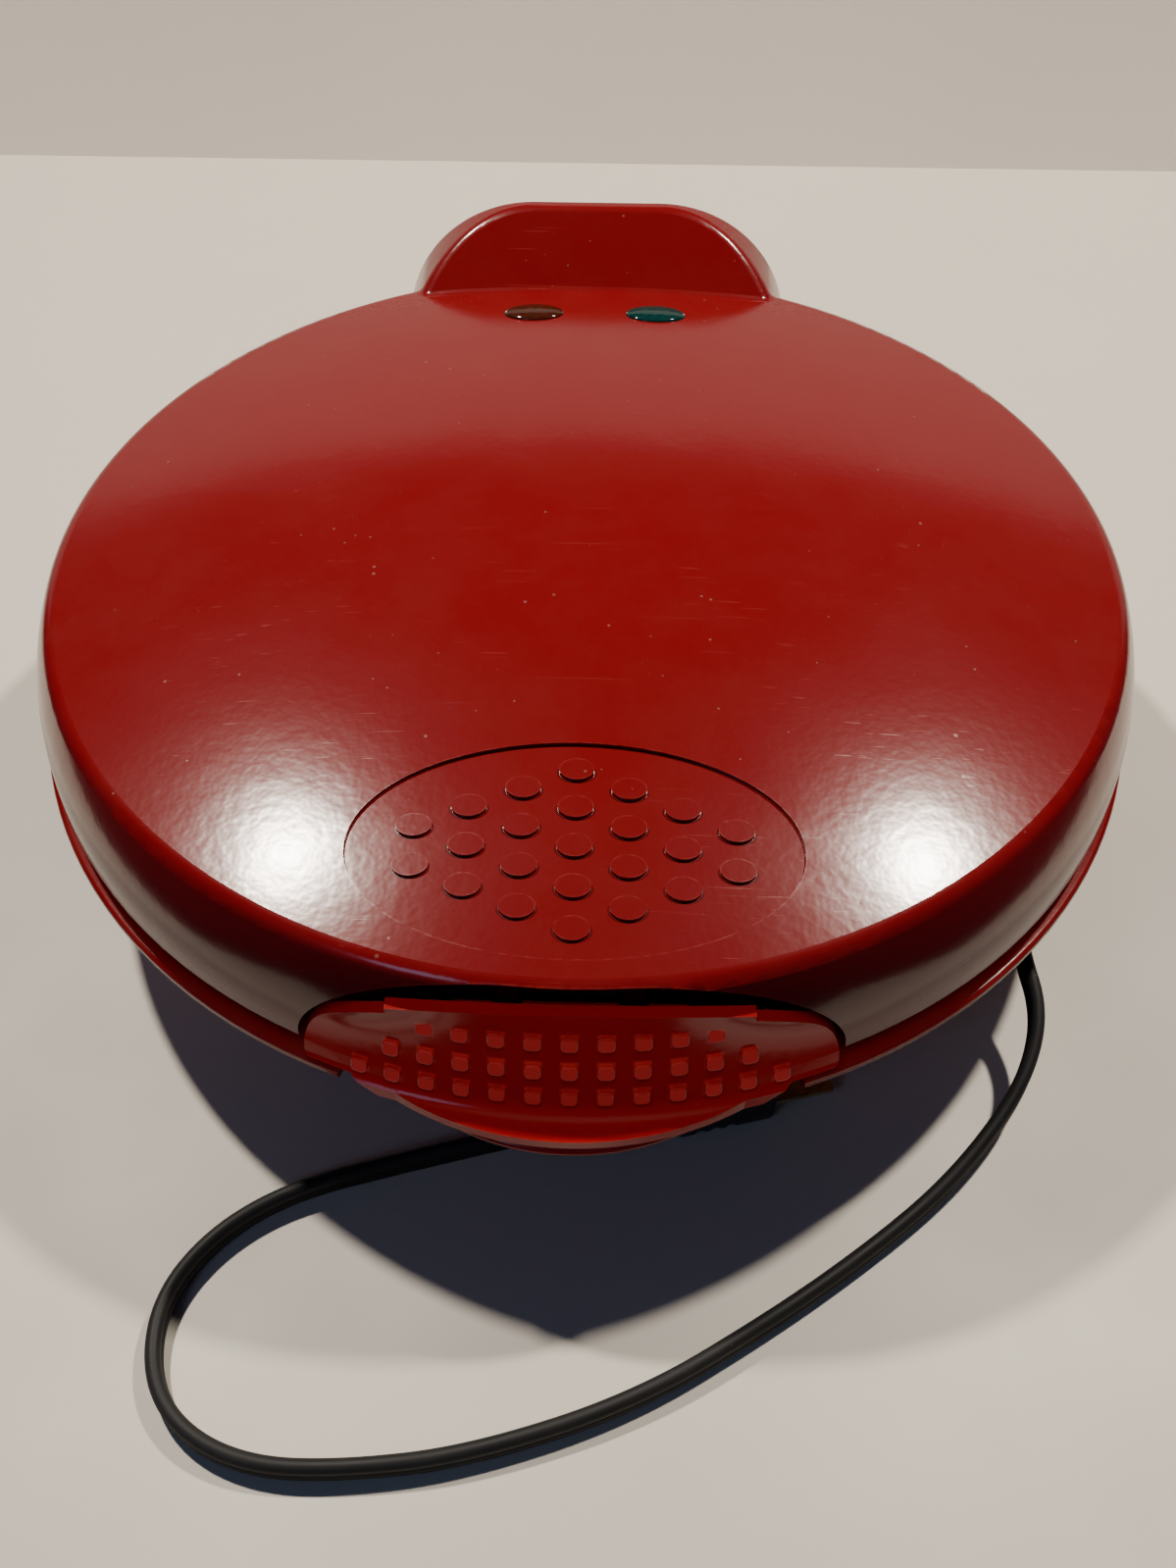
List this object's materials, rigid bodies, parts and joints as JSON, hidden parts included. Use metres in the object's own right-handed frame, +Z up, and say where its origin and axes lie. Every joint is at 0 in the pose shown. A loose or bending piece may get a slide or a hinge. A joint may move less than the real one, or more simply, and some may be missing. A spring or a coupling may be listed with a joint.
{
  "type": "quesadilla maker",
  "caption": "Round clamshell countertop cooker with wedge-pocket plates, a rear hinge under a hump, a scooped front latch handle and a free power cord.",
  "frame": {"origin": "on the table, under the middle of the closed object's box without the cord", "axes": "-Y towards the front handle, +Y towards the rear hinge, +X to the right seen from the front, +Z up"},
  "size_m": [0.31, 0.3752, 0.1134],
  "materials": {
    "red_housing": "gloss",
    "black_moulding": "matte",
    "soft_rubber": "matte",
    "coated_casting": "satin non-stick coat",
    "element_steel": "satin",
    "shield_steel": "satin",
    "screw_steel": "bright",
    "lead_sleeve": "woven",
    "switch_body": "matte",
    "cord_jacket": "satin",
    "plug_plastic": "satin",
    "blade_brass": "bright",
    "amber_lens": "gloss",
    "green_lens": "gloss",
    "lamp_glass": "clear"
  },
  "bodies": {
    "base": {"base_shell": "red_housing", "bottom_cover": "black_moulding", "rubber_feet": "soft_rubber", "bottom_cover_screws": "screw_steel", "lower_cooking_plate": "coated_casting", "lower_heating_element": "element_steel", "lower_thermostat": "switch_body", "lower_heat_shield": "shield_steel", "lower_plate_screws": "screw_steel", "lower_leads": "lead_sleeve", "terminal_block": "black_moulding", "terminal_screws": "screw_steel", "cord_tails": "cord_jacket", "strain_relief": "soft_rubber", "power_cord": "cord_jacket", "plug_body": "plug_plastic", "plug_blades": "blade_brass", "hinge_pins": "element_steel", "hinge_lead": "lead_sleeve"},
    "lid": {"lid_shell": "red_housing", "upper_cooking_plate": "coated_casting", "upper_heating_element": "element_steel", "upper_thermostat": "switch_body", "thermal_fuse": "lead_sleeve", "upper_heat_shield": "shield_steel", "upper_plate_screws": "screw_steel", "upper_leads": "lead_sleeve", "power_lens": "amber_lens", "ready_lens": "green_lens", "indicator_lamps": "lamp_glass", "lamp_bracket": "black_moulding", "latch_pin": "element_steel"},
    "latch": {"latch_handle": "red_housing"}
  },
  "joints": [
    {"name": "lid_hinge", "type": "hinge", "parent": "base", "child": "lid", "pos_m": [0, 0.15125, 0.057], "axis": [-1, 0, 0], "range_deg": [0, 100]},
    {"name": "latch_pivot", "type": "hinge", "parent": "lid", "child": "latch", "pos_m": [0, -0.13775, 0.076], "axis": [-1, 0, 0], "range_deg": [0, 40]}
  ]
}
